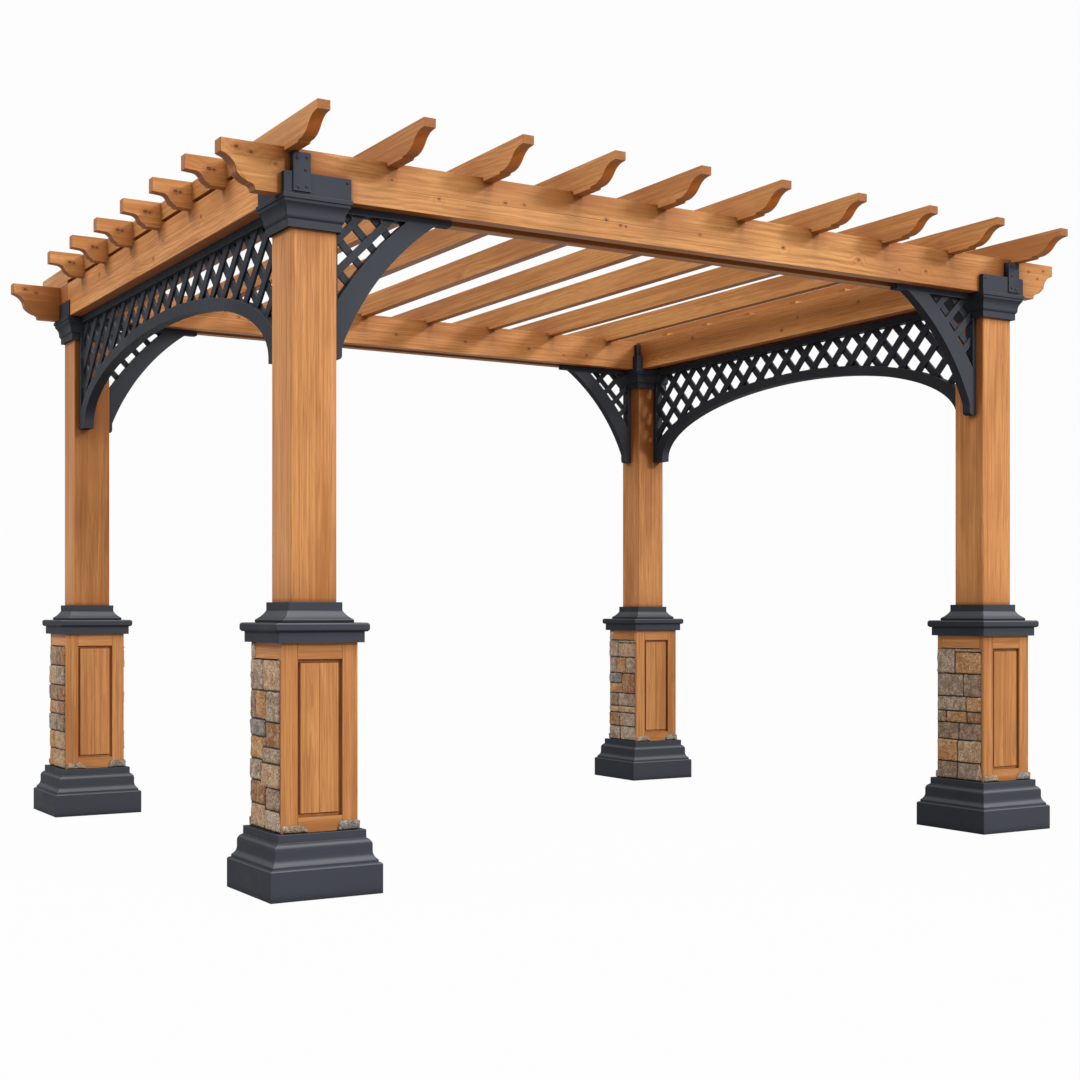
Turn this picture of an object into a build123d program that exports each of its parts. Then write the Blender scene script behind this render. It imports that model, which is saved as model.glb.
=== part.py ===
from build123d import *
import os

# A free-standing garden pergola: four square posts on moulded pedestals carry a ring of
# built-up beams, ten notched rafters with scroll-cut tails and short matching tails at the sides.
# Lattice arches stiffen the two sides, and lattice corner braces stiffen the front and the back.
# Millimetres, +Z up, +X along the front beam, -Y is the front. The origin is on the ground
# in the middle of the four posts.

os.makedirs("parts", exist_ok=True)

# Plan of the frame
post_spacing_x = 3180.0
post_spacing_y = 2600.0
post_size = 166.0
post_arris = 4.0
cut_overrun = 20.0

# Plinth under each post
plinth_width = 398.0
plinth_block_height = 103.0
plinth_block_chamfer = 5.0
plinth_lip_setback = 11.0
plinth_lip_height = 9.0
plinth_hollow_height = 29.0
plinth_waist_width = 346.0
plinth_waist_height = 20.0
plinth_shoulder_height = 22.0
plinth_band_width = 314.0
plinth_band_height = 28.0
plinth_height = (
    plinth_block_height
    + plinth_lip_height
    + plinth_hollow_height
    + plinth_waist_height
    + plinth_shoulder_height
    + plinth_band_height
)

# Pedestal: a framed and panelled timber case with stone on its two outer sides
pedestal_width = 270.0
pedestal_height = 622.0
pedestal_arris = 3.0
stile_width = 55.0
top_rail_height = 54.0
bottom_rail_height = 50.0
panel_recess = 16.0
panel_margin = 9.0
panel_field_rise = 11.0
panel_field_taper = 20.0
panel_groove_width = 4.0
panel_groove_depth = 2.0
stone_bed_depth = 24.0
stone_proud = 7.0
stone_strip_width = 16.0
stone_arris = 5.0
pedestal_top = plinth_height + pedestal_height

# Pedestal cap: a band under a wider slab, chamfered below and rounded above
cap_band_width = 307.0
cap_band_height = 36.0
cap_slab_width = 333.0
cap_slab_height = 30.0
cap_slab_round = 9.0
cap_slab_chamfer = 6.0
cap_top = pedestal_top + cap_band_height + cap_slab_height

# Collar around the foot of the post above the cap
collar_foot_width = 254.0
collar_foot_height = 10.0
collar_slope_height = 31.0
collar_slope_lean_share = 0.5
collar_band_width = 195.0
collar_band_height = 27.0
collar_top = cap_top + collar_foot_height + collar_slope_height + collar_band_height

# Capital around the head of the post, under the beams
capital_band_width = 194.0
capital_band_height = 26.0
capital_bead_width = 208.0
capital_bead_height = 15.0
capital_cove_height = 38.0
capital_crown_width = 238.0
capital_fillet_height = 10.0
capital_top_width = 248.0
capital_top_height = 15.0
capital_height = (
    capital_band_height
    + capital_bead_height
    + capital_cove_height
    + capital_fillet_height
    + capital_top_height
)

# Beams: two boards with a packing strip between them, open below
beam_underside = 2305.0
beam_depth = 155.0
board_thickness = 52.0
packing_recess = 45.0
front_beam_outset = 95.0
front_beam_inset = 75.0
side_beam_outset = 112.0
side_beam_inset = 84.0
beam_tail_reach = 330.0
beam_scroll_run = 118.0
beam_top = beam_underside + beam_depth
capital_low = beam_underside - capital_height

# Rafters across the front and back beams
rafter_count = 10
rafter_thickness = 44.0
rafter_depth = 98.0
rafter_notch_depth = 14.0
rafter_tail_reach = 372.0
rafter_scroll_run = 160.0
end_rafter_gap = 14.0
rafter_top = beam_top + rafter_depth - rafter_notch_depth

# Short tails along the outside of the side beams
side_tail_count = 6
side_tail_thickness = 46.0
side_tail_reach = 150.0
side_tail_drop = 16.0
side_tail_scroll_run = 90.0
side_tail_tongue = 188.0
side_tail_shift = 70.0
side_tail_pitch_share = 0.1395
side_tail_depth = rafter_top - beam_top + side_tail_drop

# Lattice arches at the sides
brace_thickness = 44.0
brace_drop = 520.0
arch_rail_height = 31.0
arch_rail_width = 28.0
arch_foot_width = 88.0
arch_foot_height = 18.0
arch_crown_depth = 207.0
arch_rib_width = 46.0
arch_lattice_drop = 228.0
lattice_bar_width = 35.0
lattice_bar_thickness = 10.0
lattice_lap = 1.5
lattice_seat = 4.0
lattice_pitch = 140.0
lattice_turn = 45.0

# Lattice knees at the front and back corners
knee_reach = 455.0
knee_rail_height = 24.0
knee_rail_width = 20.0
knee_foot_width = 37.0
knee_foot_height = 45.0
knee_foot_round = 16.0
knee_nose_height = 20.0
knee_nose_setback = 55.0
knee_rib_sag_share = 0.075
knee_field_run = 280.0
knee_field_drop = 320.0
knee_field_sag_share = 0.035
knee_bar_width = 26.0
knee_lattice_pitch = 109.0
knee_bar_count = 6

# Metal brackets that hold the beams on the capitals
bracket_height = 72.0
bracket_edge = 4.0
bracket_stand_off = 24.0
bracket_sheet = 6.0
bracket_side_sheet = 6.0
bracket_tail_gap = 1.0
strap_width = 62.0
strap_end_margin = 30.0
strap_foot_gap = 8.0
strap_head_gap = 4.0
corner_angle_leg = 26.0

# Outline shares of the scroll-cut ends, from the tip inwards and from the top edge down
beam_scroll_shares = (
    (0.0, 0.29),
    (0.13, 0.325),
    (0.36, 0.46),
    (0.46, 0.66),
    (0.66, 0.8),
    (0.9, 0.87),
    (0.97, 0.91),
    (1.0, 1.0),
)
rafter_scroll_shares = (
    (0.0, 0.31),
    (0.07, 0.325),
    (0.3, 0.415),
    (0.46, 0.63),
    (0.65, 0.85),
    (0.93, 0.93),
    (0.98, 0.94),
    (1.0, 1.0),
)
side_tail_scroll_shares = (
    (0.0, 0.52),
    (0.44, 0.55),
    (0.62, 0.62),
    (0.71, 0.74),
    (0.8, 0.85),
    (0.92, 0.91),
    (0.96, 0.94),
    (1.0, 1.0),
)

corners = {
    "front_left": (-1, -1),
    "front_right": (1, -1),
    "back_left": (-1, 1),
    "back_right": (1, 1),
}


def keep(builder, label):
    """Name a finished piece and write it."""
    builder.part.label = label
    export_step(builder.part, f"parts/{label}.step")


def post_centre(corner):
    """Plan position of one post."""
    side_x, side_y = corners[corner]
    return side_x * post_spacing_x / 2, side_y * post_spacing_y / 2


def square_ring(corner, label, draw_edge, low, high, reach):
    """A moulded square ring round a post: two crossed profiles, mitred where they meet."""
    x, y = post_centre(corner)
    front = Plane(origin=(x, y, 0), x_dir=(1, 0, 0), z_dir=(0, -1, 0))
    side = Plane(origin=(x, y, 0), x_dir=(0, 1, 0), z_dir=(1, 0, 0))
    with BuildPart() as ring:
        for plane, mode in ((front, Mode.ADD), (side, Mode.INTERSECT)):
            with BuildSketch(plane):
                with BuildLine():
                    draw_edge()
                    mirror(about=Plane.YZ)
                make_face()
            extrude(amount=reach, both=True, mode=mode)
        with BuildSketch(Plane((x, y, low - cut_overrun))):
            Rectangle(post_size, post_size)
        extrude(amount=high - low + 2 * cut_overrun, mode=Mode.SUBTRACT)
    keep(ring, f"{corner}_{label}")


def draw_plinth():
    """Half outline of the plinth: a tall block, a lip, a hollow, a rounded shoulder and a band."""
    block = plinth_width / 2
    lip = block - plinth_lip_setback
    waist = plinth_waist_width / 2
    band = plinth_band_width / 2
    lip_top = plinth_block_height + plinth_lip_height
    hollow_top = lip_top + plinth_hollow_height
    shoulder_low = hollow_top + plinth_waist_height
    shoulder_top = shoulder_low + plinth_shoulder_height
    Polyline(
        (0, 0),
        (block, 0),
        (block, plinth_block_height - plinth_block_chamfer),
        (block - plinth_block_chamfer, plinth_block_height),
        (lip, plinth_block_height),
        (lip, lip_top),
    )
    TangentArc((waist, hollow_top), (lip, lip_top), tangent=(0, -1))
    Line((waist, hollow_top), (waist, shoulder_low))
    TangentArc((waist, shoulder_low), (band, shoulder_top), tangent=(0, 1))
    Polyline((band, shoulder_top), (band, plinth_height), (0, plinth_height))


def draw_cap():
    """Half outline of the pedestal cap: a band under a slab, chamfered below and rounded above."""
    band = cap_band_width / 2
    slab = cap_slab_width / 2
    slab_low = pedestal_top + cap_band_height
    Polyline(
        (0, pedestal_top),
        (band, pedestal_top),
        (band, slab_low),
        (slab - cap_slab_chamfer, slab_low),
        (slab, slab_low + cap_slab_chamfer),
        (slab, cap_top - cap_slab_round),
    )
    RadiusArc((slab, cap_top - cap_slab_round), (slab - cap_slab_round, cap_top), -cap_slab_round)
    Line((slab - cap_slab_round, cap_top), (0, cap_top))


def draw_collar():
    """Half outline of the collar: a foot, a hollow slope and an upright band."""
    foot = collar_foot_width / 2
    band = collar_band_width / 2
    slope_low = cap_top + collar_foot_height
    slope_high = slope_low + collar_slope_height
    Polyline((0, cap_top), (foot, cap_top), (foot, slope_low))
    TangentArc((band, slope_high), (foot, slope_low), tangent=(collar_slope_lean_share, -1))
    Polyline((band, slope_high), (band, collar_top), (0, collar_top))


def draw_capital():
    """Half outline of the capital: a band, a round bead, a flaring hollow and two fillets."""
    band = capital_band_width / 2
    bead = capital_bead_width / 2
    crown = capital_crown_width / 2
    top = capital_top_width / 2
    bead_low = capital_low + capital_band_height
    cove_low = bead_low + capital_bead_height
    fillet_low = cove_low + capital_cove_height
    top_low = fillet_low + capital_fillet_height
    Polyline((0, capital_low), (band, capital_low), (band, bead_low))
    TangentArc((bead, cove_low), (band, bead_low), tangent=(0, -1))
    TangentArc((bead, cove_low), (crown, fillet_low), tangent=(0, 1))
    Polyline(
        (crown, fillet_low),
        (crown, top_low),
        (top, top_low),
        (top, beam_underside),
        (0, beam_underside),
    )


# Posts, one length of timber from the ground to the beams
for corner in corners:
    x, y = post_centre(corner)
    with BuildPart(Plane((x, y, 0))) as post:
        Box(post_size, post_size, beam_underside, align=(Align.CENTER, Align.CENTER, Align.MIN))
        chamfer(post.edges().filter_by(Axis.Z), length=post_arris)
    keep(post, f"{corner}_post")

# Moulded rings threaded on each post
for corner in corners:
    square_ring(corner, "plinth", draw_plinth, 0, plinth_height, plinth_width / 2)
    square_ring(corner, "pedestal_cap", draw_cap, pedestal_top, cap_top, cap_slab_width / 2)
    square_ring(corner, "post_collar", draw_collar, cap_top, collar_top, collar_foot_width / 2)
    square_ring(corner, "capital", draw_capital, capital_low, beam_underside, capital_top_width / 2)

# Pedestal cases: panels on the front and back, beds for the stone on the left and right
panel_width = pedestal_width - 2 * stile_width
panel_height = pedestal_height - top_rail_height - bottom_rail_height
panel_middle = plinth_height + bottom_rail_height + panel_height / 2
stone_width = pedestal_width - 2 * stone_strip_width
stone_height = pedestal_height - top_rail_height
stone_middle = plinth_height + stone_height / 2
for corner in corners:
    x, y = post_centre(corner)
    with BuildPart(Plane((x, y, plinth_height))) as case:
        Box(
            pedestal_width,
            pedestal_width,
            pedestal_height,
            align=(Align.CENTER, Align.CENTER, Align.MIN),
        )
        chamfer(case.edges().filter_by(Axis.Z), length=pedestal_arris)
        with BuildSketch(Plane((x, y, plinth_height))):
            Rectangle(post_size, post_size)
        extrude(amount=pedestal_height, mode=Mode.SUBTRACT)
        for facing in (-1, 1):
            face = y + facing * pedestal_width / 2
            outer = Plane(origin=(x, face, panel_middle), x_dir=(-facing, 0, 0), z_dir=(0, facing, 0))
            with BuildSketch(outer):
                Rectangle(panel_width, panel_height)
            extrude(amount=-panel_recess, mode=Mode.SUBTRACT)
            with BuildSketch(outer.offset(-panel_recess)):
                Rectangle(panel_width - 2 * panel_margin, panel_height - 2 * panel_margin)
            extrude(amount=panel_field_rise, taper=panel_field_taper)
            field = outer.offset(panel_field_rise - panel_recess)
            groove = Plane(origin=field.origin, x_dir=(1, 0, 0), z_dir=(0, 0, 1))
            with BuildSketch(groove):
                with BuildLine():
                    Polyline(
                        (-panel_groove_width / 2, 0),
                        (panel_groove_width / 2, 0),
                        (0, -facing * panel_groove_depth),
                        close=True,
                    )
                make_face()
            extrude(amount=panel_height / 2 - panel_margin, both=True, mode=Mode.SUBTRACT)
        for facing in (-1, 1):
            face = x + facing * pedestal_width / 2
            outer = Plane(origin=(face, y, stone_middle), x_dir=(0, facing, 0), z_dir=(facing, 0, 0))
            with BuildSketch(outer):
                Rectangle(stone_width, stone_height)
            extrude(amount=-stone_bed_depth, mode=Mode.SUBTRACT)
    keep(case, f"{corner}_pedestal")

# Stone facing set into the two beds of each pedestal, standing a little proud of the timber
for corner in corners:
    x, y = post_centre(corner)
    with BuildPart() as stone:
        for facing in (-1, 1):
            bed = x + facing * (pedestal_width / 2 - stone_bed_depth)
            inner = Plane(origin=(bed, y, stone_middle), x_dir=(0, facing, 0), z_dir=(facing, 0, 0))
            with BuildSketch(inner):
                Rectangle(stone_width, stone_height)
            extrude(amount=stone_bed_depth + stone_proud)
        fronts = stone.faces().filter_by(Axis.X).sort_by(Axis.X)
        chamfer(fronts.first.edges() + fronts.last.edges(), length=stone_arris)
    keep(stone, f"{corner}_stone_veneer")


def scroll_points(tip, top, run, depth, shares):
    """Corner points of one scroll-cut end whose tip lies at the negative end."""
    return [(tip + along * run, top - down * depth) for along, down in shares]


def draw_scroll(tip, top, run, depth, shares):
    """The scroll of one end: nose, lip, hollow, belly, step and toe."""
    nose, lip, hollow, waist, belly, heel, step, toe = scroll_points(tip, top, run, depth, shares)
    Line((tip, top), nose)
    Line(nose, lip)
    ThreePointArc(lip, hollow, waist)
    ThreePointArc(waist, belly, heel)
    Line(heel, step)
    Line(step, toe)
    return toe


# Front and back beams: the outer board runs on past the posts and ends in scrolls
beam_half_length = post_spacing_x / 2 + beam_tail_reach
inner_half_length = post_spacing_x / 2 + side_beam_outset
packing_width = front_beam_outset + front_beam_inset - 2 * board_thickness
packing_height = beam_depth - packing_recess
for label, facing in (("front_beam", -1), ("back_beam", 1)):
    outer_face = facing * (post_spacing_y / 2 + front_beam_outset)
    outer = Plane(origin=(0, outer_face, 0), x_dir=(1, 0, 0), z_dir=(0, -1, 0))
    inward = facing
    with BuildPart() as beam:
        with BuildSketch(outer):
            with BuildLine():
                toe = draw_scroll(
                    -beam_half_length, beam_top, beam_scroll_run, beam_depth, beam_scroll_shares
                )
                Line(toe, (0, beam_underside))
                Line((-beam_half_length, beam_top), (0, beam_top))
                mirror(about=Plane.YZ)
            make_face()
        extrude(amount=inward * board_thickness)
        packing = outer.offset(inward * board_thickness)
        with BuildSketch(packing):
            with Locations((0, beam_top - packing_height / 2)):
                Rectangle(2 * inner_half_length, packing_height)
        extrude(amount=inward * packing_width)
        with BuildSketch(packing.offset(inward * packing_width)):
            with Locations((0, beam_underside + beam_depth / 2)):
                Rectangle(2 * inner_half_length, beam_depth)
        extrude(amount=inward * board_thickness)
    keep(beam, label)

# Side beams: the same build, butted between the front and back beams
side_half_length = post_spacing_y / 2 - front_beam_inset
side_packing_width = side_beam_outset + side_beam_inset - 2 * board_thickness
for label, facing in (("left_beam", -1), ("right_beam", 1)):
    post_line = facing * post_spacing_x / 2
    outer_board = post_line + facing * (side_beam_outset - board_thickness / 2)
    inner_board = post_line - facing * (side_beam_inset - board_thickness / 2)
    middle = post_line + facing * (side_beam_outset - side_beam_inset) / 2
    board_middle = beam_top - beam_depth / 2
    with BuildPart() as beam:
        with BuildSketch(Plane.XZ):
            with Locations((outer_board, board_middle), (inner_board, board_middle)):
                Rectangle(board_thickness, beam_depth)
            with Locations((middle, beam_top - packing_height / 2)):
                Rectangle(side_packing_width, packing_height)
        extrude(amount=side_half_length, both=True)
    keep(beam, label)

# Rafters, notched over the front and back beams, with scroll-cut tails
rafter_half_length = post_spacing_y / 2 + rafter_tail_reach
seat_outer = post_spacing_y / 2 + front_beam_outset
seat_inner = post_spacing_y / 2 - front_beam_inset
rafter_bottom = rafter_top - rafter_depth
end_rafter_middle = post_spacing_x / 2 + side_beam_outset - rafter_thickness / 2
rafter_pitch = 2 * end_rafter_middle / (rafter_count - 1)
for number in range(rafter_count):
    place = number * rafter_pitch - end_rafter_middle
    is_end = number in (0, rafter_count - 1)
    underside = beam_top + end_rafter_gap if is_end else rafter_bottom
    with BuildPart() as rafter:
        with BuildSketch(Plane.YZ.offset(place - rafter_thickness / 2)):
            with BuildLine():
                toe = draw_scroll(
                    -rafter_half_length, rafter_top, rafter_scroll_run, rafter_depth, rafter_scroll_shares
                )
                Polyline(
                    toe,
                    (-seat_outer, rafter_bottom),
                    (-seat_outer, beam_top),
                    (-seat_inner, beam_top),
                    (-seat_inner, underside),
                    (0, underside),
                )
                Line((-rafter_half_length, rafter_top), (0, rafter_top))
                mirror(about=Plane.YZ)
            make_face()
        extrude(amount=rafter_thickness)
    keep(rafter, f"rafter_{number + 1:02d}")

# Side tails: butted on the end rafters and side beams, with a tongue under the rafter
side_tail_pitch = post_spacing_y * side_tail_pitch_share
for label, facing in (("left_side_tails", -1), ("right_side_tails", 1)):
    with BuildPart() as tails:
        for number in range(side_tail_count):
            place = side_tail_shift + (number - (side_tail_count - 1) / 2) * side_tail_pitch
            root = post_spacing_x / 2 + side_beam_outset
            tip = -root - side_tail_reach
            cut = Plane(
                origin=(0, place - facing * side_tail_thickness / 2, 0),
                x_dir=(-facing, 0, 0),
                z_dir=(0, facing, 0),
            )
            with BuildSketch(cut):
                with BuildLine():
                    toe = draw_scroll(
                        tip, rafter_top, side_tail_scroll_run, side_tail_depth, side_tail_scroll_shares
                    )
                    Polyline(
                        toe,
                        (-root, beam_top - side_tail_drop),
                        (-root, beam_top),
                        (side_tail_tongue - root, beam_top),
                        (side_tail_tongue - root, beam_top + end_rafter_gap),
                        (-root, beam_top + end_rafter_gap),
                        (-root, rafter_top),
                        (tip, rafter_top),
                    )
                make_face()
            extrude(amount=side_tail_thickness)
    keep(tails, label)

# Side arches: a frame with an elliptical rib below and a two-layer lattice inside it
brace_foot = beam_underside - brace_drop
spring = brace_foot + arch_foot_height
arch_half_span = post_spacing_y / 2 - post_size / 2
arch_opening = arch_half_span - arch_foot_width
arch_rise = brace_drop - arch_foot_height - arch_crown_depth
rail_line = beam_underside - arch_rail_height


# The lattice frames are notched at the head of the post to pass under and beside the capital
crown_notch_width = capital_top_width / 2 - post_size / 2
crown_notch_height = capital_cove_height + capital_fillet_height + capital_top_height
bead_notch_width = capital_bead_width / 2 - post_size / 2


def notch_places(half, top, ends):
    """Centres and sizes of the notches at the upper ends of a lattice frame."""
    notches = (
        (crown_notch_width, crown_notch_height),
        (bead_notch_width, capital_height),
    )
    return [
        ((end * (half - width / 2), top - height / 2), width, height)
        for end in ends
        for width, height in notches
    ]


def draw_arch_field(seat):
    """The space between the rails and the rib, grown by a seat into the frame around it."""
    half = arch_half_span - arch_rail_width + seat
    with Locations((0, (rail_line + seat + spring) / 2)):
        Rectangle(2 * half, rail_line + seat - spring)
    with Locations((0, spring)):
        Ellipse(arch_half_span - seat, arch_rise + arch_rib_width - seat, mode=Mode.SUBTRACT)


def add_lattice(plane, field, middle, width, pitch, length, count):
    """Two layers of crossed bars, lapped where they meet and trimmed to the field."""
    layers = ((lattice_turn, plane), (-lattice_turn, plane.offset(lattice_bar_thickness - lattice_lap)))
    places = [(middle[0] + (number - (count - 1) / 2) * pitch, middle[1]) for number in range(count)]
    for turn, layer in layers:
        with BuildSketch(layer) as bars:
            with Locations(*places):
                Rectangle(width, length, rotation=turn)
            add(field, mode=Mode.INTERSECT)
        extrude(bars.sketch, amount=lattice_bar_thickness)


with BuildSketch() as arch_field:
    draw_arch_field(0)
with BuildSketch() as arch_lattice_field:
    draw_arch_field(lattice_seat)
arch_bar_count = int(2 * (arch_half_span + brace_drop) / lattice_pitch)
lattice_depth = 2 * lattice_bar_thickness - lattice_lap
for label, facing in (("left_arch", -1), ("right_arch", 1)):
    outer_face = facing * (post_spacing_x / 2 + side_beam_outset - board_thickness)
    low_face = min(outer_face, outer_face - facing * brace_thickness)
    frame_plane = Plane.YZ.offset(low_face)
    with BuildPart() as arch:
        with BuildSketch(frame_plane):
            with Locations((0, beam_underside - brace_drop / 2)):
                Rectangle(2 * arch_half_span, brace_drop)
            with Locations((0, brace_foot + arch_foot_height / 2)):
                Rectangle(2 * arch_opening, arch_foot_height, mode=Mode.SUBTRACT)
            with Locations((0, spring)):
                Ellipse(arch_opening, arch_rise, mode=Mode.SUBTRACT)
            add(arch_field.sketch, mode=Mode.SUBTRACT)
        extrude(amount=brace_thickness)
        add_lattice(
            frame_plane.offset((brace_thickness - lattice_depth) / 2),
            arch_lattice_field.sketch,
            (0, beam_underside - arch_lattice_drop),
            lattice_bar_width,
            lattice_pitch,
            2 * brace_drop,
            arch_bar_count,
        )
        with BuildSketch(frame_plane):
            for place, width, height in notch_places(arch_half_span, beam_underside, (-1, 1)):
                with Locations(place):
                    Rectangle(width, height)
        extrude(amount=brace_thickness, mode=Mode.SUBTRACT)
    keep(arch, label)


def draw_knee_field(seat):
    """The space between a knee's two rails and its curved rib, grown by a seat."""
    corner_point = (knee_rail_width - seat, seat - knee_rail_height)
    along = (knee_field_run + seat, seat - knee_rail_height)
    below = (knee_rail_width - seat, -knee_field_drop - seat)
    chord = Vector(*along) - Vector(*below)
    Line(corner_point, along)
    SagittaArc(along, below, -knee_field_sag_share * chord.length)
    Line(below, corner_point)


with BuildSketch() as knee_field:
    with BuildLine():
        draw_knee_field(0)
    make_face()
with BuildSketch() as knee_lattice_field:
    with BuildLine():
        draw_knee_field(lattice_seat)
    make_face()

# Corner braces under the front and back beams: two rails, a broad curved rib and a lattice
for corner, (side_x, side_y) in corners.items():
    outer_face = side_y * (post_spacing_y / 2 + front_beam_outset - board_thickness)
    inner_face = outer_face - side_y * brace_thickness
    start = min(outer_face, inner_face) if side_x > 0 else max(outer_face, inner_face)
    knee_plane = Plane(
        origin=(side_x * (post_spacing_x / 2 - post_size / 2), start, beam_underside),
        x_dir=(-side_x, 0, 0),
        z_dir=(0, side_x, 0),
    )
    nose = (knee_reach - knee_nose_setback, -knee_nose_height)
    ankle = (knee_foot_width, -brace_drop + knee_foot_height)
    chord = Vector(*nose) - Vector(*ankle)
    with BuildPart() as knee:
        with BuildSketch(knee_plane) as outline:
            with BuildLine():
                Polyline((0, 0), (knee_reach, 0), (knee_reach, -knee_nose_height), nose)
                SagittaArc(nose, ankle, -knee_rib_sag_share * chord.length)
                Polyline(ankle, (knee_foot_width, -brace_drop), (0, -brace_drop), (0, 0))
            make_face()
            foot_corner = outline.vertices().group_by(Axis.Y)[0].sort_by(Axis.X)[-1]
            fillet(foot_corner, radius=knee_foot_round)
            add(knee_field.sketch, mode=Mode.SUBTRACT)
        extrude(amount=brace_thickness)
        add_lattice(
            knee_plane.offset((brace_thickness - lattice_depth) / 2),
            knee_lattice_field.sketch,
            (knee_field_run / 2, -knee_field_drop / 2),
            knee_bar_width,
            knee_lattice_pitch,
            2 * knee_reach,
            knee_bar_count,
        )
        with BuildSketch(knee_plane):
            for place, width, height in notch_places(0, 0, (-1,)):
                with Locations(place):
                    Rectangle(width, height)
        extrude(amount=brace_thickness, mode=Mode.SUBTRACT)
    keep(knee, f"{corner}_brace")

# Metal brackets: a folded tray on the front or back beam, a strap up the beam, a side plate
# and a corner angle on the inside, where the beams meet
bracket_width = capital_top_width - 2 * bracket_edge
for corner, (side_x, side_y) in corners.items():
    x, y = post_centre(corner)
    beam_face = y + side_y * front_beam_outset
    tray_plane = Plane(origin=(x, beam_face, beam_underside), x_dir=(side_x, 0, 0), z_dir=(0, side_y, 0))
    up = tray_plane.y_dir.Z
    strap_middle = bracket_width / 2 - strap_end_margin - strap_width / 2
    strap_low = strap_foot_gap
    strap_high = beam_depth - rafter_notch_depth - strap_head_gap
    with BuildPart() as bracket:
        with BuildSketch(tray_plane):
            with Locations((0, up * bracket_height / 2)):
                Rectangle(bracket_width, bracket_height)
        extrude(amount=bracket_stand_off)
        with BuildSketch(tray_plane):
            with Locations((0, up * (bracket_height - bracket_sheet) / 2)):
                Rectangle(bracket_width - 2 * bracket_sheet, bracket_height - bracket_sheet)
        extrude(amount=bracket_stand_off - bracket_sheet, mode=Mode.SUBTRACT)
        with BuildSketch(tray_plane.offset(bracket_stand_off)):
            with Locations((strap_middle, up * (strap_low + strap_high) / 2)):
                Rectangle(strap_width, strap_high - strap_low)
        extrude(amount=bracket_sheet)
        with BuildSketch(tray_plane):
            with Locations((strap_middle, up * (bracket_height + strap_high) / 2)):
                Rectangle(strap_width, strap_high - bracket_height)
                Rectangle(strap_width - 2 * bracket_sheet, strap_high - bracket_height, mode=Mode.SUBTRACT)
        extrude(amount=bracket_stand_off)
        plate_start = side_y * (front_beam_outset - board_thickness - bracket_tail_gap)
        plate_end = -side_y * bracket_width / 2
        side_face = x + side_x * side_beam_outset
        with BuildSketch(Plane((side_face, y, beam_underside), x_dir=(0, 1, 0), z_dir=(1, 0, 0))):
            with Locations(((plate_start + plate_end) / 2, bracket_height / 2)):
                Rectangle(abs(plate_start - plate_end), bracket_height)
        extrude(amount=side_x * bracket_side_sheet)
        block_x = bracket_width / 2 - side_beam_inset
        block_y = bracket_width / 2 - front_beam_inset
        inner_x = x - side_x * side_beam_inset
        inner_y = y - side_y * front_beam_inset
        for leg_x, leg_y, rise in (
            (block_x, block_y, bracket_height),
            (corner_angle_leg, corner_angle_leg, strap_high),
        ):
            with BuildSketch(Plane((inner_x, inner_y, beam_underside))):
                with Locations((-side_x * leg_x / 2, -side_y * leg_y / 2)):
                    Rectangle(leg_x, leg_y)
            extrude(amount=rise)
    keep(bracket, f"{corner}_beam_bracket")
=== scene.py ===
import math

import bmesh
import bpy
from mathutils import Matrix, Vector, noise


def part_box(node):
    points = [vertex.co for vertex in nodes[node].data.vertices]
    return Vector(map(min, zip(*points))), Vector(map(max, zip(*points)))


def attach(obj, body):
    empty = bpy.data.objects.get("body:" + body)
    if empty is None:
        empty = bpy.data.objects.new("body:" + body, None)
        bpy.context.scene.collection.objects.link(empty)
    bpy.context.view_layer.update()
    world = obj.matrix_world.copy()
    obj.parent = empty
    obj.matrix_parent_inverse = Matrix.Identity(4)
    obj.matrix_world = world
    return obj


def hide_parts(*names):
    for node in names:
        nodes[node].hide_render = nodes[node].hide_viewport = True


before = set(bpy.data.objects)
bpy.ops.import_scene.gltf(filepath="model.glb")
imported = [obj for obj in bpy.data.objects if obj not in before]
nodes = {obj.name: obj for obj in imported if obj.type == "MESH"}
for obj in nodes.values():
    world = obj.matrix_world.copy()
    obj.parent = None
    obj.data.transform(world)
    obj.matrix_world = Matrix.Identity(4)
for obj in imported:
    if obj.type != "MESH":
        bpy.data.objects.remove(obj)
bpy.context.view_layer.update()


# Posts: four lengths of square-sawn softwood, planed, eased along the arrises and stained
# a warm honey brown. Each runs from the ground through its pedestal to the beams, with the
# grain upright.

corners = {
    "front_left": (-1, -1),
    "front_right": (1, -1),
    "back_left": (-1, 1),
    "back_right": (1, 1),
}
post_arris = 0.0015


def link(tree, source, target):
    """Join an output to an input."""
    tree.links.new(source, target)


def value_of(tree, kind, first, second=None, third=None):
    """One step of arithmetic on a number in a material."""
    step = tree.nodes.new("ShaderNodeMath")
    step.operation = kind
    for place, entry in enumerate((first, second, third)):
        if entry is None:
            continue
        if isinstance(entry, (int, float)):
            step.inputs[place].default_value = entry
        else:
            link(tree, entry, step.inputs[place])
    return step.outputs[0]


def faded(tree, source, low, high, start=0.0, end=1.0):
    """A number carried from one range to another with soft ends."""
    step = tree.nodes.new("ShaderNodeMapRange")
    step.interpolation_type = "SMOOTHSTEP"
    step.inputs["From Min"].default_value = low
    step.inputs["From Max"].default_value = high
    step.inputs["To Min"].default_value = start
    step.inputs["To Max"].default_value = end
    link(tree, source, step.inputs["Value"])
    return step.outputs["Result"]


def cloud(tree, place, scale, detail=3.0, roughness=0.55, warp=0.0):
    """Soft cloudy variation, read at a place in metres."""
    step = tree.nodes.new("ShaderNodeTexNoise")
    step.inputs["Scale"].default_value = scale
    step.inputs["Detail"].default_value = detail
    step.inputs["Roughness"].default_value = roughness
    step.inputs["Distortion"].default_value = warp
    link(tree, place, step.inputs["Vector"])
    return step.outputs["Fac"]


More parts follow.
